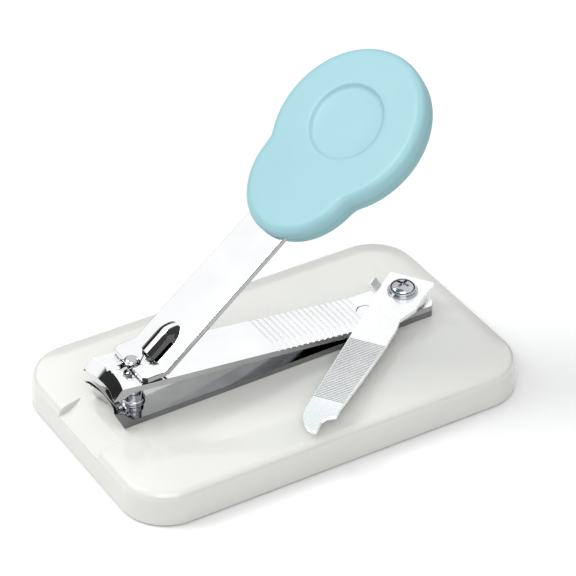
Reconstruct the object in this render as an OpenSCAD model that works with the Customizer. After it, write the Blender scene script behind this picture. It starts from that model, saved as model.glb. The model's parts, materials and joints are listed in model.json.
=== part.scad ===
// Desk nail clipper: a lever clipper with a round thumb pad and a swinging file,
// screwed to a weighty moulded base. Units are millimetres and +Z is up.
// The origin is the middle of the base at the level of the desk; the jaws point to -X.

/* [Base] */
// Length of the base along X
base_l = 96.6; // [80:0.1:120]
// Width of the base along Y
base_w = 59.6; // [46:0.1:75]
// Height of the flat top above the desk
base_h = 10.2; // [8.5:0.1:16]
// Height at which the side wall turns into the shoulder
wall_top = 6.3; // [4.5:0.1:8]
// Width of the sloping shoulder, seen from above
shoulder_w = 9.4; // [6:0.1:10.3]
// Radius of the edge between the wall and the shoulder
shoulder_round = 2.3; // [1:0.1:3.5]
// Plan radius of the four corners
corner_r = 10.5; // [6:0.1:20]
// Thickness of the moulded wall
skin = 2.0; // [1.2:0.1:3]
// Width of the scoop in front of the jaws
scoop_w = 17.6; // [12:0.1:26]
// Radius of the scoop
scoop_r = 11.8; // [8:0.1:20]
// Thickness of the bottom plate
plate_t = 1.5; // [1:0.1:2.5]
// Diameter of a rubber foot
foot_d = 9; // [6:0.1:14]
// Thickness of a rubber foot
foot_t = 1.3; // [1:0.1:2]
// How far the rubber feet hold the base off the desk
foot_rise = 0.5; // [0.2:0.1:1]

/* [Leaves] */
// Plan length of the leaves, from the cutting edge to the tail
leaf_l = 81.2; // [76:0.1:88]
// Width of the leaves at the jaws
jaw_w = 13.4; // [11:0.1:17]
// Width of the leaves at the tail
tail_w = 11.8; // [8:0.1:14]
// Thickness of the spring steel
leaf_t = 1.4; // [1:0.05:1.8]
// Height of the upper cutting edge above the base top
edge_rise = 7.75; // [6.5:0.05:9]
// Height of the lower cutting edge above the base top
lower_edge_rise = 4.9; // [4:0.05:6]
// Height of the upper leaf's front crest above the base top
crest_rise = 10.27; // [9:0.05:12]
// Plan radius of the hollow cutting edge
jaw_r = 16.7; // [12:0.1:30]
// Number of grip grooves across the upper leaf
groove_count = 18; // [6:1:24]
// Spacing of the grip grooves
groove_pitch = 1.44; // [1.2:0.01:2]
// Diameter of the flush rivet that joins the leaves
rivet_d = 4.0; // [3:0.1:5]

/* [Pin] */
// Distance of the pin behind the tips of the cutting edge
pin_back = 8; // [6:0.1:11]
// Diameter of the pin between the leaves
pin_d = 3.6; // [2.6:0.1:4.4]
// Diameter of the pin's narrow neck
neck_d = 1.9; // [1.4:0.1:2.4]
// Diameter of the pin's head
head_d = 3.0; // [2.4:0.1:3.6]
// Diameter of the collar on the lower leaf
collar_d = 5.4; // [4.6:0.1:7]

/* [Lever] */
// Angle of the lever strip above the horizontal at rest
lever_angle = 39; // [30:0.5:50]
// Width of the lever at the bend
lever_w = 13.9; // [10:0.1:16]
// Width of the lever where it enters the pad
lever_end_w = 13.1; // [8:0.1:16]
// Thickness of the lever strip
lever_t = 1.2; // [0.9:0.05:1.5]
// Length of the fork foot in front of the bend
foot_l = 5.4; // [4:0.1:8]
// Radius of the stamped bulge on the lever
bulge_r = 3.4; // [2.5:0.1:4.5]
// Length of the stamped bulge
bulge_l = 9.2; // [7:0.1:14]
// Height of the bend above the fork foot's upper face at the pin
bend_rise = 0.2; // [0.1:0.1:1.5]
// Room between the fork foot and the upper leaf
foot_gap = 0.3; // [0.15:0.05:0.6]

/* [Thumb pad] */
// Half the width of the large disc
pad_r = 20.0; // [15:0.1:26]
// Length of the large disc as a share of its width
pad_squash = 0.93; // [0.85:0.01:1]
// Distance of the large disc's centre from the bend
pad_s = 63.3; // [56:0.1:72]
// Radius of the small disc
neck_r = 15.1; // [9:0.1:18]
// Distance of the small disc's centre from the bend
neck_s = 50.5; // [44:0.1:58]
// Thickness of the pad above the strip
pad_up = 2.8; // [2:0.1:5]
// Thickness of the pad below the strip's upper face
pad_down = 3.0; // [2.6:0.1:5]
// Half the width of the shallow thumb dish
dish_r = 10.2; // [6:0.1:13]
// Length of the thumb dish as a share of its width
dish_squash = 0.86; // [0.7:0.01:1]
// Depth of the thumb dish
dish_depth = 0.7; // [0.3:0.1:1.5]

/* [File] */
// Plan angle between the resting file and the leaves
file_angle = 35.5; // [30:0.5:60]
// Thickness of the file
file_t = 0.9; // [0.7:0.05:1.2]
// Length of the file from the screw to the tip
file_l = 50.8; // [45:0.1:58]
// Half width of the file at the screw
file_half_w = 5.2; // [4.4:0.1:6.5]
// How far the tip droops below the plate
file_droop = 2.9; // [0:0.1:3]
// Distance of the screw in front of the tail
screw_back = 5.2; // [4:0.1:7]
// Diameter of the screw's head
screw_head_d = 6.0; // [4.6:0.1:7]
// Diameter of the washer under the screw's head
washer_d = 6.8; // [6:0.1:9]

/* [Clearances] */
// Radial clearance of the turning fits
run_gap = 0.05; // [0.02:0.01:0.1]
// Gap between faces that slide past each other
face_gap = 0.05; // [0.02:0.01:0.2]
// Radial clearance of holes that only let a piece through
hole_gap = 0.1; // [0.05:0.01:0.3]
// Radial room of the upper leaf's holes, which let it tilt
tilt_gap = 0.7; // [0.5:0.05:1.2]

/* [Hidden] */
$fn = 96;

white_plastic = [0.93, 0.93, 0.92];
grey_plastic = [0.72, 0.73, 0.74];
rubber_grey = [0.25, 0.25, 0.26];
steel = [0.80, 0.81, 0.83];
dark_steel = [0.62, 0.63, 0.65];
brass = [0.78, 0.65, 0.35];
pale_blue = [0.70, 0.86, 0.89];
mid_blue = [0.60, 0.79, 0.82];

// Base
rim_z = foot_rise - 0.1;
shoulder_h = base_h - wall_top;
cavity_top = base_h - skin - 0.3;
cavity_r = corner_r - skin;
plate_low = foot_rise;
plate_high = plate_low + plate_t;
plate_inset = skin + hole_gap;
boss_d = 6;
boss_x = base_l / 2 - 12;
boss_y = base_w / 2 - 9;
feet_x = base_l / 2 - 23;
feet_y = boss_y;
plate_head_d = 4.2;
plate_head_h = 0.9;
plate_thread_d = 2.2;
plate_thread_l = 5.2;

// Leaves
edge_x = -43;
tail_x = edge_x + leaf_l;
lower_z = base_h;
lower_top = lower_z + leaf_t;
upper_low = lower_top + face_gap;
upper_top = upper_low + leaf_t;
rivet_x = tail_x - 14.8;
edge_z = base_h + edge_rise;
lower_edge_z = base_h + lower_edge_rise;
crest_x = edge_x + 2.35;
crest_z = base_h + crest_rise;
leaf_slope = (crest_z - upper_top) / (rivet_x - crest_x);
jaw_axis_x = edge_x - sqrt(jaw_r * jaw_r - jaw_w * jaw_w / 4);
crest_r = norm([crest_x - jaw_axis_x, jaw_w / 2]);
groove_w = 0.5;
groove_depth = 0.22;
groove_first = rivet_x - 1.4 - (groove_count - 1) * groove_pitch;

// Pin
pin_x = edge_x + pin_back;
leaf_z_at_pin = upper_top + leaf_slope * (rivet_x - pin_x);
foot_head_d = 5.6;
foot_head_h = 1.1;
pivot_z = leaf_z_at_pin + foot_gap + lever_t / 2;
neck_low = leaf_z_at_pin - 0.6;
head_low = pivot_z + lever_t / 2 + face_gap;
head_high = head_low + 1.0;

// Lever
bend_x = pin_x + 4.6;
bend_z = pivot_z + lever_t / 2 + bend_rise;
foot_slope = atan2(bend_z - pivot_z - lever_t / 2, bend_x - pin_x);
slot_w = head_d + 2 * 0.3;
knuckle_r = lever_t / 2;
strip_end = pad_s + 8;
bulge_sink = 1.4;
bulge_skin = 0.8;

// Pad
round_r = 1.9;
slot_gap = 0.03;
carrier_inset = 0.35;

// File
screw_x = tail_x - screw_back;
tail_lift = 0.041 * (tail_x - rivet_x);
file_low = upper_top + tail_lift + 0.35;
file_high = file_low + file_t;
flat_l = 17;
bush_d = 4.6;
shank_d = 2.9;
washer_t = 0.45;
washer_low = file_high + face_gap;
washer_high = washer_low + washer_t;
screw_head_h = 1.6;
insert_d = 5.4;
insert_h = 5.5;
insert_top = base_h - 1.6;
screw_tip = insert_top - insert_h + 0.4;

module rounded_plan(l, w, r) {
    square([l - 2 * r, w], center = true);
    square([l, w - 2 * r], center = true);
    for (x = [-1, 1], y = [-1, 1])
        translate([x * (l / 2 - r), y * (w / 2 - r)])
            circle(r = r);
}

module rounded_block(l, w, r, low, high) {
    translate([0, 0, low])
        linear_extrude(high - low)
            rounded_plan(l, w, r);
}

module at_corners(x, y) {
    for (i = [-1, 1], j = [-1, 1])
        translate([i * x, j * y, 0])
            children();
}

// Rounded edge and slope of the top, from the outer wall inwards
function shoulder_arc(r) = [for (a = [0:7.5:75])
    [r - shoulder_round + shoulder_round * cos(a), shoulder_round * sin(a)]];

module shoulder_corner() {
    rotate_extrude()
        polygon(concat([[0, 0]], shoulder_arc(corner_r),
                       [[corner_r - shoulder_w, shoulder_h], [0, shoulder_h]]));
}

module shoulder_bar(length, reach) {
    rotate([90, 0, 0])
        linear_extrude(length, center = true)
            polygon(concat([[0, 0]], shoulder_arc(reach),
                           [[reach - shoulder_w, shoulder_h], [0, shoulder_h]]));
}

module base_outside() {
    rounded_block(base_l, base_w, corner_r, rim_z, wall_top);
    translate([0, 0, wall_top]) {
        at_corners(base_l / 2 - corner_r, base_w / 2 - corner_r)
            shoulder_corner();
        for (turn = [0, 180])
            rotate([0, 0, turn])
                shoulder_bar(base_w - 2 * corner_r, base_l / 2);
        for (turn = [90, 270])
            rotate([0, 0, turn])
                shoulder_bar(base_l - 2 * corner_r, base_w / 2);
    }
}

module scoop(grow) {
    translate([-base_l / 2 - 2.7, 0, wall_top + scoop_r - 0.3])
        rotate([90, 0, 0])
            cylinder(r = scoop_r + grow, h = scoop_w + 2 * grow, center = true);
}

module base_inside() {
    difference() {
        union() {
            rounded_block(base_l - 2 * skin, base_w - 2 * skin, cavity_r, rim_z - 1, wall_top - 0.3);
            rounded_block(base_l - 2 * shoulder_w, base_w - 2 * shoulder_w, 1.5, rim_z, cavity_top);
        }
        scoop(skin);
        at_corners(boss_x, boss_y)
            translate([0, 0, plate_high])
                cylinder(d = boss_d, h = base_h);
        translate([screw_x, 0, insert_top - insert_h - 0.5])
            cylinder(d = insert_d + 4, h = base_h);
        translate([pin_x, 0, base_h - foot_head_h - skin])
            cylinder(d = foot_head_d + 4, h = base_h);
    }
}

module base_shell() {
    color(white_plastic)
        difference() {
            base_outside();
            base_inside();
            scoop(0);
            at_corners(boss_x, boss_y)
                translate([0, 0, plate_high - 1])
                    cylinder(d = plate_thread_d, h = plate_thread_l + 1);
            translate([pin_x, 0, base_h - foot_head_h - 0.2])
                cylinder(d = foot_head_d + 2 * hole_gap, h = base_h);
            translate([rivet_x, 0, base_h - 0.9])
                cylinder(d = rivet_d + 0.6 + 2 * hole_gap, h = base_h);
            translate([screw_x, 0, 0])
                cylinder(d = shank_d + 2 * hole_gap, h = base_h + 1);
            translate([screw_x, 0, 0])
                cylinder(d = insert_d, h = insert_top);
        }
}

module base_plate() {
    color(grey_plastic)
        difference() {
            rounded_block(base_l - 2 * plate_inset, base_w - 2 * plate_inset,
                          corner_r - plate_inset, plate_low, plate_high);
            at_corners(boss_x, boss_y)
                translate([0, 0, plate_low - 1])
                    cylinder(d = plate_thread_d + 2 * hole_gap, h = plate_t + 2);
            at_corners(boss_x, boss_y)
                translate([0, 0, plate_low - 1])
                    cylinder(d = plate_head_d + 2 * hole_gap, h = 1 + plate_head_h);
            at_corners(feet_x, feet_y)
                translate([0, 0, plate_low - 1])
                    cylinder(d = foot_d + 2 * hole_gap, h = 1 + foot_t - foot_rise);
        }
}

module rubber_feet() {
    color(rubber_grey)
        at_corners(feet_x, feet_y)
            rotate_extrude()
                polygon([[0, 0], [foot_d / 2 - 0.5, 0], [foot_d / 2, 0.4],
                         [foot_d / 2, foot_t], [0, foot_t]]);
}

module plate_screws() {
    color(dark_steel)
        at_corners(boss_x, boss_y)
            translate([0, 0, plate_low])
                difference() {
                    union() {
                        cylinder(d = plate_head_d, h = plate_head_h);
                        cylinder(d = plate_thread_d - 0.02, h = plate_thread_l);
                    }
                    for (turn = [0, 90])
                        rotate([0, 0, turn])
                            translate([0, 0, 0.2])
                                cube([2.4, 0.5, 1], center = true);
                }
}

module threaded_insert() {
    color(brass)
        translate([screw_x, 0, insert_top - insert_h])
            difference() {
                union() {
                    cylinder(d = insert_d - 0.04, h = 2.2);
                    cylinder(d = insert_d - 0.8, h = insert_h - 0.1);
                    translate([0, 0, 3])
                        cylinder(d = insert_d - 0.04, h = 2.2);
                }
                translate([0, 0, -1])
                    cylinder(d = shank_d, h = insert_h + 2);
            }
}

// Plan outline shared by the two leaves, wide at the jaws and rounded at the tail
module leaf_plan(grow) {
    linear_extrude(60, center = true)
        polygon([[edge_x - 4, -jaw_w / 2], [pin_x + 2, -jaw_w / 2],
                 [tail_x - 1.2, -tail_w / 2], [tail_x + grow, -tail_w / 2 + 1.6],
                 [tail_x + grow, tail_w / 2 - 1.6], [tail_x - 1.2, tail_w / 2],
                 [pin_x + 2, jaw_w / 2], [edge_x - 4, jaw_w / 2]]);
}

// Cone of air in front of the jaws that leaves a hollow cutting edge
module jaw_air(low, low_r, high, high_r) {
    translate([jaw_axis_x, 0, 0])
        rotate_extrude($fn = 192)
            polygon([[0, low - 3], [low_r, low - 3], [low_r, low], [high_r, high],
                     [high_r + 2 * (high_r - low_r), 2 * high - low + (high - low)],
                     [0, 2 * high - low + (high - low)]]);
}

module side_cut(points) {
    rotate([90, 0, 0])
        linear_extrude(jaw_w + 4, center = true)
            polygon(points);
}

module lower_leaf() {
    color(steel)
        difference() {
            intersection() {
                leaf_plan(0);
                side_cut([[tail_x + 1, lower_z], [edge_x - 3, lower_z],
                          [edge_x - 3, lower_edge_z], [edge_x, lower_edge_z],
                          [edge_x + 2.2, lower_edge_z - 0.9],
                          [edge_x + 3.7, lower_top + 1.0],
                          [edge_x + 5.0, lower_top], [tail_x + 1, lower_top]]);
            }
            jaw_air(lower_z, crest_r, lower_edge_z, jaw_r);
            translate([pin_x, 0, 0])
                cylinder(r = pin_d / 2 + run_gap, h = 60);
            translate([rivet_x, 0, 0])
                cylinder(d = 2.6, h = 60);
            translate([screw_x, 0, 0])
                cylinder(r = shank_d / 2 + hole_gap, h = 60);
        }
}

module leaf_rivet() {
    color(steel)
        translate([rivet_x, 0, 0]) {
            translate([0, 0, base_h - 0.8])
                cylinder(d = rivet_d + 0.6, h = 0.8);
            translate([0, 0, base_h - 0.8])
                cylinder(d = 2.6, h = leaf_t + 1.2);
            translate([0, 0, lower_top])
                cylinder(d = rivet_d, h = leaf_t + face_gap);
        }
}

module upper_leaf() {
    color(steel)
        difference() {
            intersection() {
                leaf_plan(0);
                side_cut([[tail_x + 1, upper_top], [rivet_x, upper_top],
                          [edge_x - 3, upper_top + leaf_slope * (rivet_x - edge_x + 3)],
                          [edge_x - 3, edge_z], [edge_x + 2.6, edge_z],
                          [edge_x + 4.8, upper_low + leaf_slope * (rivet_x - edge_x - 4.8)],
                          [rivet_x, upper_low], [tail_x + 1, upper_low]]);
            }
            jaw_air(edge_z, jaw_r, crest_z, crest_r);
            translate([pin_x, 0, 0])
                cylinder(r = pin_d / 2 + tilt_gap, h = 60);
            translate([rivet_x, 0, 0])
                cylinder(r = rivet_d / 2 + 0.1, h = 60);
            translate([screw_x, 0, 0])
                cylinder(r = bush_d / 2 + tilt_gap, h = 60);
            for (i = [0:groove_count - 1])
                grip_groove(groove_first + i * groove_pitch);
        }
}

module grip_groove(x) {
    translate([x, 0, upper_top + leaf_slope * max(rivet_x - x, 0)])
        rotate([0, x < rivet_x ? atan(leaf_slope) : 0, 0])
            cube([groove_w, jaw_w + 4, 2 * groove_depth], center = true);
}

module clipper_pin() {
    color(steel)
        translate([pin_x, 0, 0])
            rotate_extrude()
                polygon([[0, base_h - 0.1 - foot_head_h], [foot_head_d / 2 - 0.3, base_h - 0.1 - foot_head_h],
                         [foot_head_d / 2, base_h + 0.2 - foot_head_h],
                         [foot_head_d / 2, base_h - face_gap], [pin_d / 2, base_h - face_gap],
                         [pin_d / 2, neck_low - 0.6], [neck_d / 2, neck_low],
                         [neck_d / 2, head_low], [head_d / 2, head_low],
                         [head_d / 2, head_high - 0.35], [head_d / 2 - 0.45, head_high],
                         [0, head_high]]);
}

module pin_collar() {
    color(steel)
        translate([pin_x, 0, 0])
            rotate_extrude()
                polygon([[pin_d / 2 + run_gap, lower_top], [collar_d / 2, lower_top],
                         [collar_d / 2, lower_top + 0.5], [pin_d / 2 + 0.55, lower_top + 0.8],
                         [pin_d / 2 + 0.55, lower_top + 2.2], [pin_d / 2 + run_gap, lower_top + 2.2]]);
}

// Places its children in the lever's own axes: +X up the strip, z = 0 on its upper face
module on_lever() {
    translate([bend_x, 0, bend_z])
        rotate([0, -lever_angle, 0])
            children();
}

module bullet(r, length) {
    rotate([0, 90, 0])
        rotate_extrude()
            polygon(concat([[0, -1], [r, -1]],
                           [for (a = [0:10:90])
                               [r * cos(a), length - 1.3 * r + 1.3 * r * sin(a)]]));
}

module lever_strip() {
    half = lever_w / 2;
    half_end = lever_end_w / 2;
    translate([0, 0, -lever_t])
        linear_extrude(lever_t)
            polygon([[-0.35, -half], [0.6, -half], [strip_end - 28, -half_end],
                     [strip_end - 3, -half_end], [strip_end, -half_end + 3],
                     [strip_end, half_end - 3], [strip_end - 3, half_end],
                     [strip_end - 28, half_end], [0.6, half], [-0.35, half]]);
}

module lever_bulge() {
    intersection() {
        difference() {
            translate([0, 0, -bulge_sink])
                bullet(bulge_r, bulge_l);
            translate([-0.1, 0, -bulge_sink])
                bullet(bulge_r - bulge_skin, bulge_l - bulge_skin);
        }
        translate([bulge_l / 2 + 0.2, 0, 5 - 0.5])
            cube([bulge_l + 1, 4 * bulge_r, 10], center = true);
    }
}

module lever_foot() {
    difference() {
        translate([bend_x, 0, bend_z])
            rotate([0, -foot_slope, 0])
                translate([-foot_l, 0, -lever_t])
                    linear_extrude(lever_t)
                        polygon([[0, -6.1], [1, -lever_w / 2], [foot_l + 0.2, -lever_w / 2],
                                 [foot_l + 0.2, lever_w / 2], [1, lever_w / 2], [0, 6.1]]);
        translate([pin_x, 0, 0])
            cylinder(d = slot_w, h = 60);
        translate([pin_x - 5, 0, 30])
            cube([10, slot_w, 60], center = true);
    }
}

module lever_knuckle() {
    inner = neck_d / 2 + run_gap;
    for (side = [0, 180])
        rotate([0, 0, side])
            translate([0, inner, 0])
                rotate([-90, 0, 0])
                    cylinder(r = knuckle_r, h = slot_w / 2 + 1 - inner);
}

module lever() {
    color(steel) {
        difference() {
            union() {
                on_lever() {
                    difference() {
                        lever_strip();
                        translate([0, 0, -bulge_sink])
                            bullet(bulge_r - bulge_skin, bulge_l - bulge_skin);
                    }
                    lever_bulge();
                }
                lever_foot();
            }
            translate([pin_x, 0, head_low - 1])
                cylinder(d = slot_w, h = 4);
        }
        translate([pin_x, 0, pivot_z])
            lever_knuckle();
    }
}

// Discs of the pad with a rounded rim, from below its floor to its roof
module pad_disc(r, low, high, low_round, high_round) {
    rotate_extrude()
        polygon(concat(
            [[0, low]],
            [for (a = [-90:15:0]) [r - low_round + low_round * cos(a), low + low_round + low_round * sin(a)]],
            [for (a = [0:15:90]) [r - high_round + high_round * cos(a), high - high_round + high_round * sin(a)]],
            [[0, high]]));
}

module pad_body(inset, low, high, low_round, high_round) {
    translate([pad_s, 0, 0])
        scale([pad_squash, 1, 1])
            pad_disc(pad_r - inset, low, high, low_round, high_round);
    translate([neck_s, 0, 0])
        pad_disc(neck_r - inset, low, high, low_round, high_round);
}

module strip_room() {
    translate([neck_s - neck_r - 2, -lever_end_w / 2 - slot_gap - 0.3, -lever_t - slot_gap])
        cube([strip_end - neck_s + neck_r + 2.3, lever_end_w + 2 * slot_gap + 0.6,
              lever_t + slot_gap]);
}

module pad_carrier() {
    color(mid_blue)
        on_lever()
            difference() {
                pad_body(carrier_inset, -pad_down, 0, 1.4, 0.01);
                strip_room();
            }
}

module pad_cover() {
    color(pale_blue)
        on_lever()
            difference() {
                pad_body(0, 0, pad_up, 0.3, round_r);
                translate([pad_s + 0.7, 0, pad_up])
                    scale([dish_squash, 1, 1])
                        thumb_dish();
            }
}

// Shallow bowl with a flat floor and a sloping rim
module thumb_dish() {
    rotate_extrude()
        polygon([[0, 1], [dish_r, 1], [dish_r, 0], [dish_r - 0.5, -dish_depth * 0.5],
                 [dish_r - 1.6, -dish_depth * 0.85], [dish_r - 3.2, -dish_depth],
                 [0, -dish_depth]]);
}

module pivot_bush() {
    color(dark_steel)
        translate([screw_x, 0, lower_top])
            difference() {
                cylinder(d = bush_d, h = file_low - face_gap - lower_top);
                translate([0, 0, -1])
                    cylinder(r = shank_d / 2 + 0.02, h = 10);
            }
}

module file_outline() {
    polygon([[-5.8, -file_half_w], [5.2, -file_half_w], [9.4, -4.5], [20, -4.3],
             [file_l - 9.8, -4.1], [file_l - 5.6, -4.1], [file_l - 3.6, -3.7],
             [file_l - 1.7, -2.6], [file_l - 0.4, -1.2], [file_l, 0.2],
             [file_l - 0.3, 0.8], [file_l - 1.6, 0.8], [file_l - 3.6, 0.6],
             [file_l - 5.0, 1.3], [file_l - 6.1, 2.9], [file_l - 8.6, 2.8],
             [32, 3.6], [20, 4.2], [13.6, 4.1], [10.3, 3.5], [5.4, file_half_w],
             [-5.8, file_half_w]]);
}

// Side view of the file: flat under the screw, drooping along the blade, bent at the tip
module file_side() {
    tip = file_l + 1;
    bend = file_l - 9;
    rotate([90, 0, 0])
        linear_extrude(30, center = true)
            polygon([[-9, 0], [flat_l, 0], [bend, -file_droop * 0.7], [tip, -file_droop],
                     [tip, file_t - file_droop], [bend, file_t - file_droop * 0.7],
                     [flat_l, file_t], [-9, file_t]]);
}

module file_ears() {
    for (side = [-1, 1])
        translate([1.2, side * (file_half_w + 0.75), file_t / 2 + 0.85])
            rotate([side * 50, 0, 0])
                cube([3.0, 3.0, file_t * 0.9], center = true);
}

module nail_file() {
    color(steel)
        translate([screw_x, 0, file_low])
            rotate([0, 0, 180 + file_angle])
                difference() {
                    union() {
                        intersection() {
                            translate([0, 0, -20])
                                linear_extrude(40)
                                    file_outline();
                            file_side();
                        }
                        file_ears();
                    }
                    translate([0, 0, -1])
                        cylinder(r = shank_d / 2 + run_gap, h = 5);
                }
}

module screw_washer() {
    color(dark_steel)
        translate([screw_x, 0, washer_low])
            difference() {
                cylinder(d = washer_d, h = washer_t);
                translate([0, 0, -1])
                    cylinder(r = shank_d / 2 + 0.02, h = 5);
            }
}

module file_screw() {
    color(steel)
        translate([screw_x, 0, 0])
            difference() {
                rotate_extrude()
                    polygon(concat(
                        [[0, screw_tip], [shank_d / 2 - 0.5, screw_tip],
                         [shank_d / 2 - 0.01, screw_tip + 0.6],
                         [shank_d / 2 - 0.01, washer_high], [screw_head_d / 2, washer_high]],
                        [for (a = [0:10:80])
                            [screw_head_d / 2 * (0.35 + 0.65 * cos(a)),
                             washer_high + 0.35 + (screw_head_h - 0.35) * sin(a)]],
                        [[0, washer_high + screw_head_h]]));
                for (turn = [0, 90])
                    rotate([0, 0, turn + 20])
                        translate([0, 0, washer_high + screw_head_h])
                            cube([3.2, 0.7, 2], center = true);
            }
}

base_shell();
base_plate();
rubber_feet();
plate_screws();
threaded_insert();
lower_leaf();
leaf_rivet();
upper_leaf();
clipper_pin();
pin_collar();
lever();
pad_carrier();
pad_cover();
pivot_bush();
nail_file();
screw_washer();
file_screw();
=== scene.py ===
"""Visual model of a desk nail clipper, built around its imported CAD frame.

The clipper is a chrome lever clipper with a pale blue thumb pad and a swinging
file, screwed to a low rounded base. Every length is in metres.
"""

import json
import logging
import math
from dataclasses import dataclass, field
from enum import Enum
from typing import Dict, List, Optional, Sequence, Tuple

import bmesh
import bpy
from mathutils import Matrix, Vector

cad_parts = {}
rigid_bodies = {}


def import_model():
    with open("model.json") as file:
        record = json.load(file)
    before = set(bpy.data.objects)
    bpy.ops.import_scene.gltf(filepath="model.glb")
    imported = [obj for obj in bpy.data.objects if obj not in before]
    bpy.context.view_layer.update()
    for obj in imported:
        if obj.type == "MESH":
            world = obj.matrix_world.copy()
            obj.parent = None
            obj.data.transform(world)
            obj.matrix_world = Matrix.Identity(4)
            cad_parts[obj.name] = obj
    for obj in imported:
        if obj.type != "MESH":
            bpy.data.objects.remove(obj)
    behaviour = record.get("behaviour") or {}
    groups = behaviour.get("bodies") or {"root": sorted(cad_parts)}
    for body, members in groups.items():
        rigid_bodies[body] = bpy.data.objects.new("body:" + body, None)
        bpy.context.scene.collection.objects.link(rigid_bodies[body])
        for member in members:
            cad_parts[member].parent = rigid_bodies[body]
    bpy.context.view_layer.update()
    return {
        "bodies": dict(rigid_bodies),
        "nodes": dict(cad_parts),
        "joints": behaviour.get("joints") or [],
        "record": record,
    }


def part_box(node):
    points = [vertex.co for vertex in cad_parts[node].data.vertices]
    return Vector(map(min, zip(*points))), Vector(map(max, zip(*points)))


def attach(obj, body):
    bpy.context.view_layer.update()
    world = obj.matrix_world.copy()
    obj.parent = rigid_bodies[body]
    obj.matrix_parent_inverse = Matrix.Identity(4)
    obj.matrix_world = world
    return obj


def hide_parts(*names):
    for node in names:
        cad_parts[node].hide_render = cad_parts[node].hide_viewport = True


MM = 0.001
Point = Tuple[float, float, float]
Colour = Tuple[float, float, float]
Stops = Sequence[Tuple[float, float]]
NOISE_LOW, NOISE_HIGH = 0.3, 0.7
EVEN: Point = (1.0, 1.0, 1.0)

log = logging.getLogger("desk_nail_clipper")


class Part(Enum):
    """The record's material slots that the pieces take their finish from."""

    SHELL = "white_shell"
    PLATE = "grey_plate"
    FOOT = "foot_rubber"
    ZINC = "screw_steel"
    INSERT = "insert_brass"
    LEAF = "leaf_chrome"
    PIN = "pin_chrome"
    LEVER = "lever_chrome"
    PAD_TOP = "pad_upper"
    PAD_LOW = "pad_lower"
    FILE = "file_steel"


# ---------------------------------------------------------------- finishes


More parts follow.
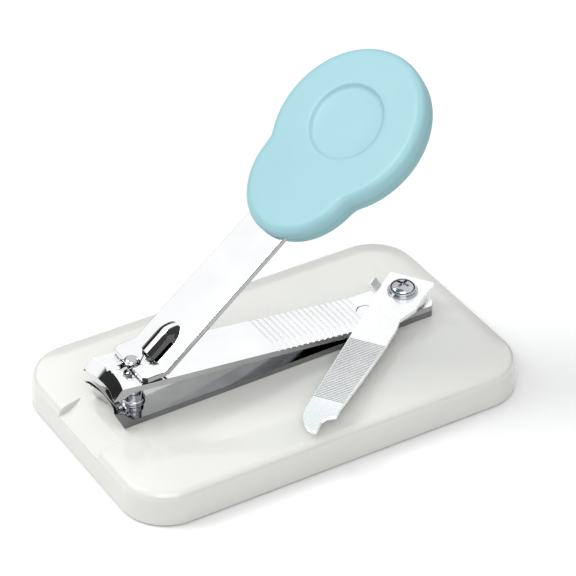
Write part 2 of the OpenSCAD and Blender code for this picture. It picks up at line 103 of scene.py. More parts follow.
class ShaderSheet:
    """A material's node tree with short calls for the nodes the finishes use."""

    def __init__(self, name: str) -> None:
        """Start an empty node material with a Principled shader.

        Args:
            name: Name of the material.
        """
        self.material = bpy.data.materials.new(name)
        self.material.use_nodes = True
        self.tree = self.material.node_tree
        self.shader = next(n for n in self.tree.nodes if n.type == "BSDF_PRINCIPLED")
        self.coords = self.tree.nodes.new("ShaderNodeTexCoord")

    def set(self, socket: str, value: object) -> None:
        """Set a constant on the shader's own socket."""
        self.shader.inputs[socket].default_value = value

    def link(self, source: bpy.types.NodeSocket, target: bpy.types.NodeSocket) -> None:
        """Join two sockets."""
        self.tree.links.new(source, target)

    def mapped(self, scale: Point, turn: Point = (0.0, 0.0, 0.0)) -> bpy.types.NodeSocket:
        """Object coordinates, scaled and turned.

        Args:
            scale: Scale along each axis.
            turn: Rotation in degrees about each axis.

        Returns:
            The mapped vector.
        """
        node = self.tree.nodes.new("ShaderNodeMapping")
        node.inputs["Scale"].default_value = scale
        node.inputs["Rotation"].default_value = [math.radians(v) for v in turn]
        self.link(self.coords.outputs["Object"], node.inputs["Vector"])
        return node.outputs["Vector"]

    def noise(self, vector: bpy.types.NodeSocket, scale: float,
              detail: float = 4.0) -> bpy.types.NodeSocket:
        """Fractal noise on a vector.

        Args:
            vector: Where it is read.
            scale: Size of the pattern, in cells per unit.
            detail: Octaves.

        Returns:
            The noise value.
        """
        node = self.tree.nodes.new("ShaderNodeTexNoise")
        node.inputs["Scale"].default_value = scale
        node.inputs["Detail"].default_value = detail
        self.link(vector, node.inputs["Vector"])
        return node.outputs["Fac"]

    def remap(self, value: bpy.types.NodeSocket, low: float, high: float) -> bpy.types.NodeSocket:
        """Spread the middle of a noise value over a range.

        Args:
            value: A value that lies mostly between NOISE_LOW and NOISE_HIGH.
            low: Result at NOISE_LOW.
            high: Result at NOISE_HIGH.

        Returns:
            The spread value.
        """
        node = self.tree.nodes.new("ShaderNodeMapRange")
        node.inputs["From Min"].default_value = NOISE_LOW
        node.inputs["From Max"].default_value = NOISE_HIGH
        node.inputs["To Min"].default_value = low
        node.inputs["To Max"].default_value = high
        self.link(value, node.inputs["Value"])
        return node.outputs["Result"]

    def tint(self, value: bpy.types.NodeSocket, dark: Colour,
             light: Colour) -> bpy.types.NodeSocket:
        """Blend two colours by a value.

        Args:
            value: The blend, around its middle.
            dark: Colour at the low end.
            light: Colour at the high end.

        Returns:
            The blended colour.
        """
        ramp = self.tree.nodes.new("ShaderNodeValToRGB")
        ramp.color_ramp.elements[0].position = NOISE_LOW
        ramp.color_ramp.elements[0].color = (*dark, 1.0)
        ramp.color_ramp.elements[1].position = NOISE_HIGH
        ramp.color_ramp.elements[1].color = (*light, 1.0)
        self.link(value, ramp.inputs["Fac"])
        return ramp.outputs["Color"]

    def painted_flank_reflection(self, colour: bpy.types.NodeSocket, stops: Stops) -> bpy.types.NodeSocket:
        """Darken a colour by how far the surface turns sideways, along Y: painted reflection of a
        dark room on the flanks.

        Args:
            colour: Colour of the faces.
            stops: Pairs of turn, from 0 to 1, and brightness.

        Returns:
            The colour with the painted reflection.
        """
        split = self.tree.nodes.new("ShaderNodeSeparateXYZ")
        self.link(self.coords.outputs["Normal"], split.inputs[0])
        side = self.tree.nodes.new("ShaderNodeMath")
        side.operation = "ABSOLUTE"
        self.link(split.outputs["Y"], side.inputs[0])
        ramp = self.tree.nodes.new("ShaderNodeValToRGB")
        while len(ramp.color_ramp.elements) < len(stops):
            ramp.color_ramp.elements.new(0.5)
        for element, (turn, level) in zip(ramp.color_ramp.elements, stops):
            element.position = turn
            element.color = (level, level, level, 1.0)
        self.link(side.outputs[0], ramp.inputs["Fac"])
        mix = self.tree.nodes.new("ShaderNodeMixRGB")
        mix.blend_type = "MULTIPLY"
        mix.inputs["Fac"].default_value = 1.0
        self.link(colour, mix.inputs["Color1"])
        self.link(ramp.outputs["Color"], mix.inputs["Color2"])
        return mix.outputs["Color"]

    def bump(self, height: bpy.types.NodeSocket, strength: float, distance: float) -> None:
        """Raise the surface by a height.

        Args:
            height: The height pattern.
            strength: How much of it shows.
            distance: Height in metres where the pattern is 1.
        """
        node = self.tree.nodes.new("ShaderNodeBump")
        node.inputs["Strength"].default_value = strength
        node.inputs["Distance"].default_value = distance
        self.link(height, node.inputs["Height"])
        self.link(node.outputs["Normal"], self.shader.inputs["Normal"])


@dataclass(frozen=True)
class Plating:
    """Bright plated or bare metal with fine wear, and dark flanks of painted reflection where stops
    are given.
    """

    name: str
    dark: Colour
    light: Colour
    polish: float
    haze: float
    grain: float = 0.04
    grain_turn: Point = (0.0, 0.0, 0.0)
    grain_height: float = 0.004 * MM
    grain_scale: Point = (300.0, 2600.0, 1200.0)
    cloud_scale: float = 90.0
    flank_reflection_stops: Stops = ()
    metal: float = 1.0

    def build(self) -> bpy.types.Material:
        """Make the material.

        Returns:
            A metal with a slight cloud in its tone and hair-fine scratches, and painted dark
            reflection on its flanks where stops are given.
        """
        sheet = ShaderSheet(self.name)
        sheet.set("Metallic", self.metal)
        cloud = sheet.noise(sheet.mapped(EVEN), self.cloud_scale)
        tone = sheet.tint(cloud, self.dark, self.light)
        # Dark flanks: painted reflection of a dark room, not the metal's own colour.
        if self.flank_reflection_stops:
            tone = sheet.painted_flank_reflection(tone, self.flank_reflection_stops)
        sheet.link(tone, sheet.shader.inputs["Base Color"])
        smear = sheet.noise(sheet.mapped(self.grain_scale, self.grain_turn), 1.0, 6.0)
        sheet.link(sheet.remap(smear, self.polish, self.haze), sheet.shader.inputs["Roughness"])
        if self.grain > 0.0:
            sheet.bump(smear, self.grain, self.grain_height)
        return sheet.material


@dataclass(frozen=True)
class Moulding:
    """Moulded plastic or rubber with a fine skin."""

    name: str
    dark: Colour
    light: Colour
    shine: float
    dull: float
    skin_scale: float
    skin_depth: float
    skin_strength: float = 0.25
    cloud_scale: float = 38.0
    refraction: float = 1.49
    coat: float = 0.0
    coat_haze: float = 0.06
    glow: float = 0.0
    glow_depth: float = 1.2 * MM

    def build(self) -> bpy.types.Material:
        """Make the material.

        Returns:
            A dielectric whose tone and gloss vary a little over the surface.
        """
        sheet = ShaderSheet(self.name)
        sheet.set("IOR", self.refraction)
        sheet.set("Coat Weight", self.coat)
        sheet.set("Coat Roughness", self.coat_haze)
        if self.glow > 0.0:
            sheet.set("Subsurface Weight", self.glow)
            sheet.set("Subsurface Scale", self.glow_depth)
            sheet.set("Subsurface Radius", EVEN)
        cloud = sheet.noise(sheet.mapped(EVEN), self.cloud_scale, 3.0)
        sheet.link(sheet.tint(cloud, self.dark, self.light), sheet.shader.inputs["Base Color"])
        skin = sheet.noise(sheet.mapped(EVEN), self.skin_scale, 5.0)
        sheet.link(sheet.remap(skin, self.shine, self.dull), sheet.shader.inputs["Roughness"])
        sheet.bump(skin, self.skin_strength, self.skin_depth)
        return sheet.material


@dataclass
class Finishes:
    """Every finish of the clipper, made once."""

    made: Dict[Part, bpy.types.Material] = field(default_factory=dict)
    file_cuts: Optional[bpy.types.Material] = None
    # Darker chrome for the lower leaf: painted shade of the gap under the upper leaf.
    painted_shade_leaf: Optional[bpy.types.Material] = None
    chrome: Tuple[Colour, Colour] = ((0.86, 0.87, 0.88), (0.93, 0.935, 0.94))
    # Brightness by sideways turn of a face: the dark bands are painted reflection of a dark room on
    # the chrome flanks.
    strip_painted_reflection: Stops = ((0.0, 1.0), (0.5, 1.0), (0.6, 0.2), (0.9, 0.2), (0.96, 0.5))
    lever_painted_reflection: Stops = ((0.0, 1.0), (0.16, 1.0), (0.24, 0.04), (0.9, 0.04), (0.96, 0.45))

    def plastics(self) -> Dict[Part, Moulding]:
        """The moulded shell, plate, feet and thumb pad.

        Returns:
            Their finishes.
        """
        return {
            Part.SHELL: Moulding("white_shell_gloss", (0.585, 0.585, 0.562), (0.61, 0.61, 0.586),
                                 shine=0.13, dull=0.2, skin_scale=900.0, skin_depth=0.004 * MM,
                                 coat=0.5),
            Part.PLATE: Moulding("grey_plate_matt", (0.46, 0.47, 0.48), (0.52, 0.53, 0.54),
                                 shine=0.45, dull=0.6, skin_scale=2600.0, skin_depth=0.03 * MM),
            Part.FOOT: Moulding("foot_rubber_matt", (0.025, 0.025, 0.027), (0.05, 0.05, 0.052),
                                shine=0.75, dull=0.9, skin_scale=3200.0, skin_depth=0.04 * MM),
            Part.PAD_TOP: Moulding("pad_blue_satin", (0.236, 0.43, 0.475), (0.26, 0.458, 0.502),
                                   shine=0.38, dull=0.48, skin_scale=1700.0,
                                   skin_depth=0.02 * MM, glow=0.1),
            # The lower piece is a darker copy of the pad's blue: painted shade of the pad's side
            # band.
            Part.PAD_LOW: Moulding("pad_blue_painted_shade", (0.20, 0.39, 0.42), (0.23, 0.42, 0.45),
                                   shine=0.38, dull=0.5, skin_scale=1700.0,
                                   skin_depth=0.02 * MM, glow=0.1),
        }

    def metals(self) -> Dict[Part, Plating]:
        """The chrome, zinc, brass and steel of the working parts.

        Returns:
            Their finishes.
        """
        dark, light = self.chrome
        return {
            Part.ZINC: Plating("bright_zinc", (0.55, 0.56, 0.58), (0.72, 0.73, 0.74),
                               polish=0.16, haze=0.3),
            Part.INSERT: Plating("turned_brass", (0.60, 0.45, 0.18), (0.78, 0.62, 0.30),
                                 polish=0.2, haze=0.35),
            Part.LEAF: Plating("leaf_chrome_mirror", dark, light, polish=0.025, haze=0.06,
                               flank_reflection_stops=self.strip_painted_reflection),
            Part.PIN: Plating("pin_chrome_polish", (0.34, 0.35, 0.37), (0.62, 0.63, 0.65),
                              polish=0.05, haze=0.12),
            Part.LEVER: Plating("lever_chrome_mirror", dark, light, polish=0.025, haze=0.06,
                                flank_reflection_stops=self.lever_painted_reflection),
            Part.FILE: Plating("file_steel_bright", (0.90, 0.90, 0.905), (0.96, 0.96, 0.96),
                               polish=0.26, haze=0.28, grain=0.0, grain_turn=(0.0, 0.0, 35.5),
                               metal=0.55),
        }

    def build(self) -> None:
        """Make the materials."""
        for part, finish in (*self.plastics().items(), *self.metals().items()):
            self.made[part] = finish.build()
        self.file_cuts = Plating("file_cut_steel", (0.36, 0.36, 0.365), (0.52, 0.52, 0.525),
                                 polish=0.45, haze=0.6, grain=0.1).build()
        # Darker copy of the leaf chrome: painted shade between the leaves.
        self.painted_shade_leaf = Plating("leaf_chrome_painted_shade", (0.40, 0.41, 0.42), (0.56, 0.565, 0.57),
                                  polish=0.05, haze=0.1, flank_reflection_stops=self.strip_painted_reflection).build()

    def of(self, part: Part) -> bpy.types.Material:
        """The material of a slot."""
        return self.made[part]


# ---------------------------------------------------------------- mesh tools


@dataclass
class Bench:
    """Shared tools that make pieces and hang them on the frame's bodies."""

    frame: Dict[str, object]
    finishes: Finishes
    pieces: List[str] = field(default_factory=list)
    weld: float = 0.002 * MM
    flat_angle: float = 0.15
    crease_angle: float = 40.0

    def joint(self, name: str) -> Vector:
        """The pivot point of a joint at rest."""
        return Vector(next(j for j in self.frame["joints"] if j["name"] == name)["pos_m"])

    def settle(self, piece: bpy.types.Object) -> None:
        """Apply every modifier, so that the piece is a plain mesh.

        Args:
            piece: The object whose modifiers are turned into its mesh.
        """
        bpy.context.view_layer.update()
        graph = bpy.context.evaluated_depsgraph_get()
        mesh = bpy.data.meshes.new_from_object(piece.evaluated_get(graph))
        piece.modifiers.clear()
        old = piece.data
        piece.data = mesh
        bpy.data.meshes.remove(old)

    def add(self, name: str, mesh: bpy.types.Mesh) -> bpy.types.Object:
        """Put a mesh in the scene.

        Args:
            name: Name of the piece.
            mesh: Its mesh, in the frame's place.

        Returns:
            The new object.
        """
        piece = bpy.data.objects.new(name, mesh)
        bpy.context.scene.collection.objects.link(piece)
        return piece

    def smooth(self, piece: bpy.types.Object, angle: float = 32.0) -> None:
        """Shade smooth, with sharp edges above an angle in degrees."""
        piece.data.shade_smooth()
        piece.data.set_sharp_from_angle(angle=math.radians(angle))

    def softened(self, node: str, name: str, width: float, segments: int = 3,
                 limit: float = 28.0, clamp: bool = True) -> bpy.types.Object:
        """Copy a CAD node as one skin with rounded edges.

        Args:
            node: The CAD node.
            name: Name of the new piece.
            width: Width of the rounding.
            segments: Faces across the rounding.
            limit: Angle in degrees above which an edge is rounded.
            clamp: Whether a short edge narrows the rounding everywhere.

        Returns:
            The rounded piece.
        """
        mesh = self.frame["nodes"][node].data.copy()
        skin = bmesh.new()
        skin.from_mesh(mesh)
        bmesh.ops.remove_doubles(skin, verts=skin.verts, dist=self.weld)
        bmesh.ops.dissolve_limit(skin, angle_limit=math.radians(self.flat_angle),
                                 verts=skin.verts, edges=skin.edges)
        bmesh.ops.recalc_face_normals(skin, faces=skin.faces)
        skin.to_mesh(mesh)
        skin.free()
        piece = self.add(name, mesh)
        rounding = piece.modifiers.new("edges", "BEVEL")
        rounding.limit_method = "ANGLE"
        rounding.angle_limit = math.radians(limit)
        rounding.width = width
        rounding.segments = segments
        rounding.use_clamp_overlap = clamp
        rounding.miter_outer = "MITER_ARC"
        self.settle(piece)
        self.smooth(piece, self.crease_angle)
        level = piece.modifiers.new("level_faces", "WEIGHTED_NORMAL")
        level.weight = 100
        level.keep_sharp = True
        self.settle(piece)
        return piece

    def dress(self, piece: bpy.types.Object, part: Part, body: str, *nodes: str,
              own_finish: bool = False) -> None:
        """Give a piece its finish, its body and the CAD nodes it stands for.

        Args:
            piece: The finished mesh object.
            part: The slot that its finish comes from.
            body: The body it moves with.
            nodes: CAD nodes that it replaces.
            own_finish: True where the piece already has its material.
        """
        if not own_finish:
            piece.data.materials.clear()
            piece.data.materials.append(self.finishes.of(part))
        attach(piece, body)
        if nodes:
            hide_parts(*nodes)
        self.pieces.append(piece.name)
        log.info("%s: %d faces on %s", piece.name, len(piece.data.polygons), body)

    def repaint(self, node: str, part: Part) -> None:
        """Give a CAD node its procedural finish.

        Args:
            node: The CAD node, whose mesh stays as it is.
            part: The slot that its finish comes from.
        """
        thing = self.frame["nodes"][node]
        thing.data.materials.clear()
        thing.data.materials.append(self.finishes.of(part))
        self.pieces.append(node)
        log.info("%s: carried over from the frame", node)


class NodePattern:
    """A Geometry Nodes tree with named inputs, run once and turned into a mesh."""

    def __init__(self, name: str) -> None:
        """Start a tree with one geometry input and output.

        Args:
            name: Name of the tree.
        """
        self.tree = bpy.data.node_groups.new(name, "GeometryNodeTree")
        for way in ("INPUT", "OUTPUT"):
            self.tree.interface.new_socket("Geometry", in_out=way,
                                           socket_type="NodeSocketGeometry")
        self.entry = self.tree.nodes.new("NodeGroupInput")
        self.exit = self.tree.nodes.new("NodeGroupOutput")
        self.values: Dict[str, object] = {}

    def size(self, name: str, value: float, whole: bool = False) -> bpy.types.NodeSocket:
        """Add a named input.

        Args:
            name: Name of the input.
            value: Its value for this piece.
            whole: True for a count.

        Returns:
            The input's socket inside the tree.
        """
        kind = "NodeSocketInt" if whole else "NodeSocketFloat"
        socket = self.tree.interface.new_socket(name, in_out="INPUT", socket_type=kind)
        self.values[socket.identifier] = value
        return self.entry.outputs[name]

    def node(self, kind: str, **inputs: object) -> bpy.types.Node:
        """Add a node and set or link its inputs by name.

        Args:
            kind: Node type.
            inputs: Values or sockets; an underscore in a name stands for a space.

        Returns:
            The node.
        """
        made = self.tree.nodes.new(kind)
        for key, value in inputs.items():
            socket = made.inputs[key.replace("_", " ")]
            if isinstance(value, bpy.types.NodeSocket):
                self.tree.links.new(value, socket)
            else:
                socket.default_value = value
        return made

    def maths(self, operation: str, *values: object) -> bpy.types.NodeSocket:
        """Add a Math node.

        Args:
            operation: Its operation.
            values: Numbers or sockets.

        Returns:
            Its result.
        """
        made = self.tree.nodes.new("ShaderNodeMath")
        made.operation = operation
        for slot, value in zip(made.inputs, values):
            if isinstance(value, bpy.types.NodeSocket):
                self.tree.links.new(value, slot)
            else:
                slot.default_value = value
        return made.outputs[0]

    def vector(self, x: object, y: object, z: object) -> bpy.types.NodeSocket:
        """Join three numbers or sockets into a vector."""
        return self.node("ShaderNodeCombineXYZ", X=x, Y=y, Z=z).outputs[0]

    def finish(self, geometry: bpy.types.NodeSocket, material: bpy.types.Material) -> None:
        """End the tree in Realize Instances and Set Material.

        Args:
            geometry: What the tree made.
            material: The material of all of it.
        """
        real = self.node("GeometryNodeRealizeInstances", Geometry=geometry)
        dressed = self.node("GeometryNodeSetMaterial", Geometry=real.outputs[0], Material=material)
        self.tree.links.new(dressed.outputs[0], self.exit.inputs[0])

    def grow(self, bench: Bench, name: str) -> bpy.types.Object:
        """Run the tree and keep its result as a plain mesh.

        Args:
            bench: The shared tools.
            name: Name of the piece.

        Returns:
            The piece.
        """
        piece = bench.add(name, bpy.data.meshes.new(name))
        modifier = piece.modifiers.new("pattern", "NODES")
        modifier.node_group = self.tree
        for identifier, value in self.values.items():
            modifier[identifier] = value
        bench.settle(piece)
        return piece


# ---------------------------------------------------------------- base


@dataclass
class Base:
    """Moulded base with its bottom plate, screws, feet and insert."""

    bench: Bench
    edge: float = 0.35 * MM
    plate_edge: float = 0.15 * MM
    screw_edge: float = 0.08 * MM
    foot_radius: float = 4.5 * MM
    foot_sides: int = 48
    foot_ring_count: int = 3
    foot_ring_radius: float = 0.3 * MM
    foot_ring_sides: int = 40
    foot_ring_margin: float = 0.4

    def shell(self) -> None:
        """The white shell, its edges rounded as a moulding's are."""
        piece = self.bench.softened("base_shell", "moulded_shell", self.edge)
        self.bench.dress(piece, Part.SHELL, "base", "base_shell")

    def underside(self) -> None:
        """The bottom plate and its screws."""
        plate = self.bench.softened("base_plate", "bottom_plate", self.plate_edge, 2)
        self.bench.dress(plate, Part.PLATE, "base", "base_plate")
        screws = self.bench.softened("plate_screws", "bottom_screws", self.screw_edge, 2)
        self.bench.dress(screws, Part.ZINC, "base", "plate_screws")
        self.bench.repaint("threaded_insert", Part.INSERT)

    def feet(self) -> None:
        """Four rubber feet with raised rings, set out by a node pattern."""
        low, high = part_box("rubber_feet")
        pattern = NodePattern("rubber_feet_pattern")
        spread_x = pattern.size("Spread X", high.x - low.x)
        spread_y = pattern.size("Spread Y", high.y - low.y)
        thick = pattern.size("Thickness", high.z - low.z)
        radius = pattern.size("Radius", self.foot_radius)
        rings = pattern.size("Rings", self.foot_ring_count, True)
        bead = pattern.size("Ring Radius", self.foot_ring_radius)
        disc = pattern.node("GeometryNodeMeshCylinder", Vertices=self.foot_sides,
                            Side_Segments=1, Fill_Segments=1, Radius=radius,
                            Depth=pattern.maths("SUBTRACT", thick, bead))
        middle = pattern.maths("MULTIPLY_ADD", thick, 0.5, pattern.maths("MULTIPLY", bead, 0.5))
        raised = pattern.node("GeometryNodeTransform", Geometry=disc.outputs["Mesh"],
                              Translation=pattern.vector(0.0, 0.0, middle))
        line = pattern.node("GeometryNodeMeshLine", Count=rings)
        index = pattern.tree.nodes.new("GeometryNodeInputIndex")
        share = pattern.maths("DIVIDE", pattern.maths("ADD", index.outputs[0], 1.0),
                              pattern.maths("ADD", rings, self.foot_ring_margin))
        path = pattern.node("GeometryNodeCurvePrimitiveCircle", Resolution=self.foot_ring_sides,
                            Radius=1.0)
        flat = pattern.node("GeometryNodeSetPosition", Geometry=line.outputs[0],
                            Position=pattern.vector(0.0, 0.0, bead))
        reach = pattern.maths("MULTIPLY", share, radius)
        placed = pattern.node("GeometryNodeInstanceOnPoints", Points=flat.outputs[0],
                              Instance=path.outputs[0],
                              Scale=pattern.vector(reach, reach, reach))
        circles = pattern.node("GeometryNodeRealizeInstances", Geometry=placed.outputs[0])
        profile = pattern.node("GeometryNodeCurvePrimitiveCircle", Resolution=8, Radius=bead)
        tubes = pattern.node("GeometryNodeCurveToMesh", Curve=circles.outputs[0],
                             Profile_Curve=profile.outputs[0])
        foot = pattern.tree.nodes.new("GeometryNodeJoinGeometry")
        pattern.tree.links.new(raised.outputs[0], foot.inputs[0])
        pattern.tree.links.new(tubes.outputs[0], foot.inputs[0])
        width = pattern.maths("MULTIPLY", radius, 2.0)
        corners = pattern.node("GeometryNodeMeshGrid",
                               Size_X=pattern.maths("SUBTRACT", spread_x, width),
                               Size_Y=pattern.maths("SUBTRACT", spread_y, width),
                               Vertices_X=2, Vertices_Y=2)
        feet = pattern.node("GeometryNodeInstanceOnPoints", Points=corners.outputs["Mesh"],
                            Instance=foot.outputs[0])
        pattern.finish(feet.outputs[0], self.bench.finishes.of(Part.FOOT))
        piece = pattern.grow(self.bench, "ringed_feet")
        self.bench.smooth(piece)
        self.bench.dress(piece, Part.FOOT, "base", "rubber_feet", own_finish=True)

    def build(self) -> None:
        """Build the whole base."""
        self.shell()
        self.underside()
        self.feet()


# ---------------------------------------------------------------- leaves and pin


@dataclass
class Leaves:
    """The two chrome leaves, the rivet that joins them and the stepped pin."""

    bench: Bench
    edge: float = 0.12 * MM
    fine_edge: float = 0.09 * MM
    turned_edge: float = 0.1 * MM

    def strips(self) -> None:
        """The lower and upper leaf."""
        lower = self.bench.softened("lower_leaf", "jaw_leaf_lower", self.edge)
        # The lower leaf takes the darker chrome: painted shade between the leaves.
        lower.data.materials.clear()
        lower.data.materials.append(self.bench.finishes.painted_shade_leaf)
        self.bench.dress(lower, Part.LEAF, "base", "lower_leaf", own_finish=True)
        upper = self.bench.softened("upper_leaf", "jaw_leaf_upper", self.fine_edge)
        self.bench.dress(upper, Part.LEAF, "spring_leaf", "upper_leaf")

    def small_parts(self) -> None:
        """The rivet, the pin and its collar."""
        rivet = self.bench.softened("leaf_rivet", "flush_rivet", self.turned_edge, 2)
        self.bench.dress(rivet, Part.LEAF, "base", "leaf_rivet")
        pin = self.bench.softened("clipper_pin", "stepped_pin", self.edge)
        self.bench.dress(pin, Part.PIN, "pin", "clipper_pin")
        collar = self.bench.softened("pin_collar", "turned_collar", self.turned_edge)
        self.bench.dress(collar, Part.PIN, "base", "pin_collar")

    def build(self) -> None:
        """Build the leaves and the pin."""
        self.strips()
        self.small_parts()


# ---------------------------------------------------------------- lever and pad


@dataclass
class LeverPlane:
    """The lever's own axes: along the strip, across it, and out of its upper face."""

    angle: float
    bend: Vector

    def place(self, along: float, across: float, out: float) -> Vector:
        """A point of the lever's axes in the frame.

        Args:
            along: Distance up the strip from the bend.
            across: Distance along +Y.
            out: Distance out of the upper face.

        Returns:
            The point.
        """
        c, s = math.cos(math.radians(self.angle)), math.sin(math.radians(self.angle))
        return self.bend + Vector((along * c - out * s, across, along * s + out * c))


@dataclass
class ThumbPad:
    """Two-piece pad: a figure-of-eight of two discs with a softened waist."""

    bench: Bench
    plane: LeverPlane
    big_centre: float = 63.3 * MM
    big_half_width: float = 20.0 * MM
    big_squash: float = 0.93
    small_centre: float = 50.5 * MM
    small_radius: float = 15.1 * MM
    waist: float = 1.2 * MM
    top: float = 2.8 * MM
    bottom: float = -3.0 * MM
    dish_offset: float = 0.7 * MM
    dish_half_width: float = 10.2 * MM
    dish_squash: float = 0.86
    dish_depth: float = 0.8 * MM
    dish_profile: Stops = ((1.12, 0.0), (1.02, 0.0), (1.0, -0.04), (0.985, -0.2), (0.965, -0.5),
                           (0.94, -0.8), (0.91, -0.94), (0.86, -1.0), (0.5, -1.0), (0.25, -1.0))
    top_round: float = 2.0 * MM
    bottom_round: float = 1.5 * MM
    step: float = 0.35 * MM
    seam: float = 0.02 * MM
    flat_inset: float = 3.0 * MM
    lip_inset: float = 0.25 * MM
    lip_edge: float = 0.05 * MM
    lip_height: float = 0.12 * MM
    land_insets: Tuple[float, float] = (2.6 * MM, 4.2 * MM)
    core_inset: float = 7.0 * MM
    reach_limits: Tuple[float, float] = (4.0 * MM, 34.0 * MM)
    halvings: int = 34
    crease_angle: float = 50.0
    spokes: int = 144

    def distance(self, along: float, across: float) -> float:
        """Signed distance outside the pad's outline, softened at the waist."""
        big = math.hypot((along - self.big_centre) / self.big_squash, across) - self.big_half_width
        small = math.hypot(along - self.small_centre, across) - self.small_radius
        share = max(self.waist - abs(big - small), 0.0) / self.waist
        return min(big, small) - share * share * self.waist * 0.25

    def reach(self, angle: float, inset: float) -> float:
        """Radius of the outline from the dish's centre.

        Args:
            angle: Direction in radians from the strip's line.
            inset: How far inside the outline.

        Returns:
            The radius at which the outline is met.
        """
        low, high = self.reach_limits
        centre = self.big_centre + self.dish_offset
        for _ in range(self.halvings):
            middle = (low + high) / 2
            along, across = centre + middle * math.cos(angle), middle * math.sin(angle)
            if self.distance(along, across) < -inset:
                low = middle
            else:
                high = middle
        return low

    def ring(self, inset: float, out: float) -> List[Vector]:
        """One ring of points at an inset and a height above the strip."""
        centre = self.big_centre + self.dish_offset
        ring = []
        for k in range(self.spokes):
            angle = 2 * math.pi * k / self.spokes
            radius = self.reach(angle, inset)
            ring.append(self.plane.place(centre + radius * math.cos(angle),
                                         radius * math.sin(angle), out))
        return ring

    def dish_ring(self, share: float, out: float) -> List[Vector]:
        """One ring of the dish at a share of its radius."""
        centre = self.big_centre + self.dish_offset
        half = self.dish_half_width * share
        turns = (2 * math.pi * k / self.spokes for k in range(self.spokes))
        return [self.plane.place(centre + half * self.dish_squash * math.cos(a),
                                 half * math.sin(a), out) for a in turns]

    def skin(self, name: str, rings: Sequence[List[Vector]]) -> bpy.types.Object:
        """Join rings into a closed skin.

        Args:
            name: Name of the piece.
            rings: Rings from the middle of one face, over the rim, to the middle of the other.

        Returns:
            The piece.
        """
        body = bmesh.new()
        rows = [[body.verts.new(p) for p in ring] for ring in rings]
        for row, after in zip(rows, rows[1:]):
            for k in range(self.spokes):
                body.faces.new((row[k], row[(k + 1) % self.spokes],
                                after[(k + 1) % self.spokes], after[k]))
        body.faces.new(rows[0])
        body.faces.new(rows[-1])
        bmesh.ops.recalc_face_normals(body, faces=body.faces)
        mesh = bpy.data.meshes.new(name)
        body.to_mesh(mesh)
        body.free()
        return self.bench.add(name, mesh)

    def cover(self) -> None:
        """The soft upper piece with its thumb dish."""
        rings = [self.ring(self.flat_inset, 0.0), self.ring(self.lip_inset, 0.0),
                 self.ring(self.lip_edge, self.lip_height)]
        rings += [self.ring(self.top_round * (1 - math.cos(a)),
                            self.top - self.top_round * (1 - math.sin(a)))
                  for a in (math.radians(v) for v in range(0, 91, 9))]
        rings += [self.ring(inset, self.top) for inset in self.land_insets]
        rings += [self.dish_ring(share, self.top + depth * self.dish_depth)
                  for share, depth in self.dish_profile]
        piece = self.skin("pad_upper_skin", rings)
        self.bench.smooth(piece, self.crease_angle)
        self.bench.dress(piece, Part.PAD_TOP, "lever_arm", "pad_cover")

    def carrier(self) -> None:
        """The lower piece, which grips the strip."""
        inset = self.step
        rings = [self.ring(inset + self.flat_inset, -self.seam), self.ring(inset, -self.seam)]
        rings += [self.ring(inset + self.bottom_round * (1 - math.cos(a)),
                            self.bottom + self.bottom_round * (1 - math.sin(a)))
                  for a in (math.radians(v) for v in range(0, 91, 10))]
        rings += [self.ring(inset + self.flat_inset, self.bottom),
                  self.ring(inset + self.core_inset, self.bottom)]
        piece = self.skin("pad_lower_skin", rings)
        self.bench.smooth(piece, self.crease_angle)
        # Its darker blue is painted shade on the pad's side.
        self.bench.dress(piece, Part.PAD_LOW, "lever_arm", "pad_carrier")


@dataclass
class Lever:
    """The chrome lever strip and its pad."""

    bench: Bench
    edge: float = 0.16 * MM
    edge_limit: float = 40.0
    angle: float = 39.0
    bend_ahead: float = 4.6 * MM
    bend_above: float = 0.8 * MM

    def strip(self) -> None:
        """The strip with its fork foot and stamped bulge."""
        piece = self.bench.softened("lever", "lever_strip", self.edge, 2, self.edge_limit, False)
        self.bench.dress(piece, Part.LEVER, "lever_arm", "lever")

    def plane(self) -> LeverPlane:
        """Find the lever's axes from the pin and the strip.

        Returns:
            The plane of the strip's upper face.
        """
        pivot = self.bench.joint("lever_press")
        bend = Vector((pivot.x + self.bend_ahead, 0.0, pivot.z + self.bend_above))
        return LeverPlane(self.angle, bend)

    def build(self) -> None:
        """Build the lever and the pad on it."""
        self.strip()
        pad = ThumbPad(self.bench, self.plane())
        pad.cover()
        pad.carrier()


# ---------------------------------------------------------------- file


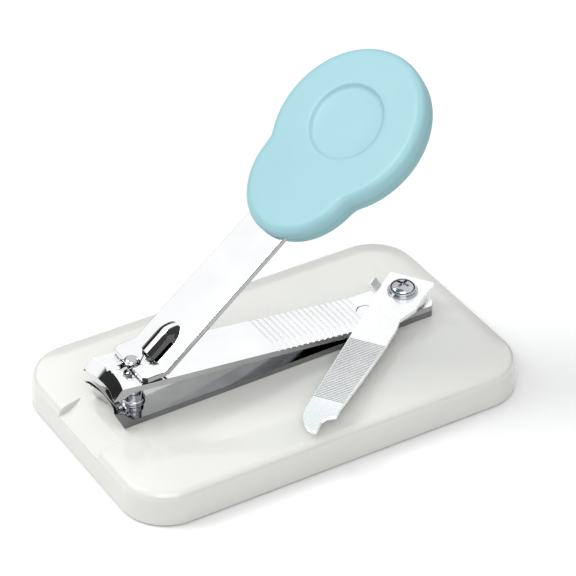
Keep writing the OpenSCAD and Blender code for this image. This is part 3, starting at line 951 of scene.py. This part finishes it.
@dataclass
class SwingFile:
    """The nail file, its cut blade and its pivot hardware."""

    bench: Bench
    edge: float = 0.1 * MM
    bush_edge: float = 0.08 * MM
    washer_edge: float = 0.12 * MM
    angle: float = 35.5
    cut_start: float = 20.6 * MM
    cut_end: float = 41.2 * MM
    cut_pitch: float = 0.5 * MM
    start_width: float = 8.2 * MM
    end_width: float = 6.8 * MM
    end_shift: float = -0.6 * MM
    ridge_width: float = 0.2 * MM
    ridge_height: float = 0.1 * MM
    above: float = 50.0 * MM

    def blade(self) -> bpy.types.Object:
        """The pressed file with softened edges."""
        piece = self.bench.softened("nail_file", "hooked_file", self.edge)
        self.bench.dress(piece, Part.FILE, "file", "nail_file")
        return piece

    def cuts(self, blade: bpy.types.Object) -> None:
        """Fine ridges across the blade, set along it by a node pattern.

        Args:
            blade: The piece whose upper face they lie on.
        """
        pivot = self.bench.joint("file_swing")
        turn = math.radians(180.0 + self.angle)
        heights = []
        for along in (self.cut_start, self.cut_end):
            above = Vector((pivot.x + along * math.cos(turn), pivot.y + along * math.sin(turn),
                            self.above))
            heights.append(blade.ray_cast(above, (0.0, 0.0, -1.0))[1].z)
        tilt = math.atan2(heights[0] - heights[1], self.cut_end - self.cut_start)
        pattern = NodePattern("file_cut_pattern")
        start = pattern.size("Start", self.cut_start)
        end = pattern.size("End", self.cut_end)
        pitch = pattern.size("Pitch", self.cut_pitch)
        wide = pattern.size("Start Width", self.start_width)
        narrow = pattern.size("End Width", self.end_width)
        shift = pattern.size("End Shift", self.end_shift)
        span = pattern.maths("SUBTRACT", end, start)
        count = pattern.maths("ROUND", pattern.maths("DIVIDE", span, pitch))
        line = pattern.node("GeometryNodeMeshLine", Count=count)
        index = pattern.tree.nodes.new("GeometryNodeInputIndex").outputs[0]
        share = pattern.maths("DIVIDE", index, pattern.maths("SUBTRACT", count, 1.0))
        along = pattern.maths("MULTIPLY_ADD", index, pitch, start)
        height = pattern.maths("MULTIPLY", pattern.maths("SUBTRACT", along, start), -math.tan(tilt))
        aside = pattern.maths("MULTIPLY", share, shift)
        points = pattern.node("GeometryNodeSetPosition", Geometry=line.outputs[0],
                              Position=pattern.vector(along, aside, height))
        ridge = pattern.node("GeometryNodeMeshCube",
                             Size=(self.ridge_width, 1.0, self.ridge_height))
        length = pattern.maths("MULTIPLY_ADD", share, pattern.maths("SUBTRACT", narrow, wide), wide)
        laid = pattern.node("GeometryNodeInstanceOnPoints", Points=points.outputs[0],
                            Instance=ridge.outputs["Mesh"], Scale=pattern.vector(1.0, length, 1.0),
                            Rotation=(0.0, tilt, 0.0))
        placed = pattern.node("GeometryNodeTransform", Geometry=laid.outputs[0],
                              Translation=(pivot.x, pivot.y, heights[0]),
                              Rotation=(0.0, 0.0, turn))
        pattern.finish(placed.outputs[0], self.bench.finishes.file_cuts)
        piece = pattern.grow(self.bench, "file_cuts")
        self.bench.dress(piece, Part.FILE, "file", own_finish=True)

    def pivot(self) -> None:
        """The bush, the washer and the cross-recessed screw."""
        bush = self.bench.softened("pivot_bush", "stepped_bush", self.bush_edge, 2)
        self.bench.dress(bush, Part.ZINC, "base", "pivot_bush")
        washer = self.bench.softened("screw_washer", "flat_washer", self.washer_edge)
        self.bench.dress(washer, Part.PIN, "base", "screw_washer")
        screw = self.bench.softened("file_screw", "cross_screw", self.edge)
        self.bench.dress(screw, Part.PIN, "base", "file_screw")

    def build(self) -> None:
        """Build the file and its pivot."""
        self.cuts(self.blade())
        self.pivot()


# ---------------------------------------------------------------- studio


@dataclass(frozen=True)
class Lamp:
    """A square soft light: its place in metres, the length of its side and its watts."""

    name: str
    place: Point
    size: float
    power: float


@dataclass
class Studio:
    """Floor, light and camera, none of them part of the clipper."""

    key: Lamp = Lamp("soft_key", (-0.6, 0.45, 0.95), 0.5, 7.2)
    fill: Lamp = Lamp("soft_fill", (-0.4, -0.75, 0.8), 0.9, 5.0)
    azimuth: float = -31.01
    elevation: float = 35.08
    distance: float = 631.3 * MM
    aim: Point = (7.76 * MM, 7.21 * MM, 20.5 * MM)
    lens: float = 180.75
    sensor: float = 36.0
    clip: Tuple[float, float] = (0.05, 20.0)
    floor_half: float = 4.0
    floor_tone: float = 0.76
    dark_band: float = 0.38
    band_edge: float = 0.03
    band_tones: Tuple[float, float] = (0.02, 0.03)
    room_light: float = 1.08

    def floor(self) -> None:
        """A plain pale floor."""
        mesh = bpy.data.meshes.new("studio_floor")
        half = self.floor_half
        mesh.from_pydata([(-half, -half, 0), (half, -half, 0), (half, half, 0), (-half, half, 0)],
                         [], [(0, 1, 2, 3)])
        floor = bpy.data.objects.new("studio_floor", mesh)
        bpy.context.scene.collection.objects.link(floor)
        sheet = ShaderSheet("floor_pale")
        sheet.set("Base Color", (self.floor_tone, self.floor_tone, self.floor_tone, 1.0))
        sheet.set("Roughness", 0.9)
        sheet.set("Specular IOR Level", 0.0)
        floor.data.materials.append(sheet.material)

    def sky(self) -> None:
        """A white room with a darker strip near the horizon, for the metal to mirror."""
        world = bpy.data.worlds.new("studio_room")
        bpy.context.scene.world = world
        world.use_nodes = True
        tree = world.node_tree
        back = next(n for n in tree.nodes if n.type == "BACKGROUND")
        coords = tree.nodes.new("ShaderNodeTexCoord")
        split = tree.nodes.new("ShaderNodeSeparateXYZ")
        ramp = tree.nodes.new("ShaderNodeValToRGB")
        tree.links.new(coords.outputs["Generated"], split.inputs[0])
        tree.links.new(split.outputs["Z"], ramp.inputs["Fac"])
        tree.links.new(ramp.outputs["Color"], back.inputs["Color"])
        low, edge = self.band_tones
        stops = ramp.color_ramp.elements
        stops[0].position, stops[0].color = 0.0, (low, low, low, 1.0)
        stops[1].position, stops[1].color = self.dark_band, (1.0, 1.0, 1.0, 1.0)
        middle = stops.new(self.dark_band - self.band_edge)
        middle.color = (edge, edge, edge, 1.0)
        back.inputs["Strength"].default_value = self.room_light

    def light(self, lamp: Lamp) -> None:
        """Stand a lamp so that it faces the clipper.

        Args:
            lamp: The lamp to stand.
        """
        area = bpy.data.lights.new(lamp.name, "AREA")
        area.size = lamp.size
        area.energy = lamp.power
        stand = bpy.data.objects.new(lamp.name, area)
        stand.location = lamp.place
        view = Vector(self.aim) - Vector(lamp.place)
        stand.rotation_euler = view.to_track_quat("-Z", "Y").to_euler()
        bpy.context.scene.collection.objects.link(stand)

    def camera(self) -> None:
        """The camera at the clipper's portrait angle."""
        data = bpy.data.cameras.new("portrait_camera")
        data.lens = self.lens
        data.sensor_width = self.sensor
        data.clip_start, data.clip_end = self.clip
        camera = bpy.data.objects.new("portrait_camera", data)
        a, e = math.radians(self.azimuth), math.radians(self.elevation)
        back = Vector((math.sin(a) * math.cos(e), -math.cos(a) * math.cos(e), math.sin(e)))
        camera.location = Vector(self.aim) + back * self.distance
        camera.rotation_euler = (-back).to_track_quat("-Z", "Y").to_euler()
        bpy.context.scene.collection.objects.link(camera)
        bpy.context.scene.camera = camera

    def build(self) -> None:
        """Set up the studio."""
        bpy.context.scene.view_settings.view_transform = "Standard"
        self.floor()
        self.sky()
        self.light(self.key)
        self.light(self.fill)
        self.camera()


# ---------------------------------------------------------------- build


def main() -> None:
    """Build every sub-assembly in order."""
    logging.basicConfig(level=logging.INFO, format="%(name)s: %(message)s")
    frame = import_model()
    finishes = Finishes()
    finishes.build()
    bench = Bench(frame, finishes)
    Studio().build()
    Base(bench).build()
    Leaves(bench).build()
    Lever(bench).build()
    SwingFile(bench).build()


if __name__ == "__main__":
    main()
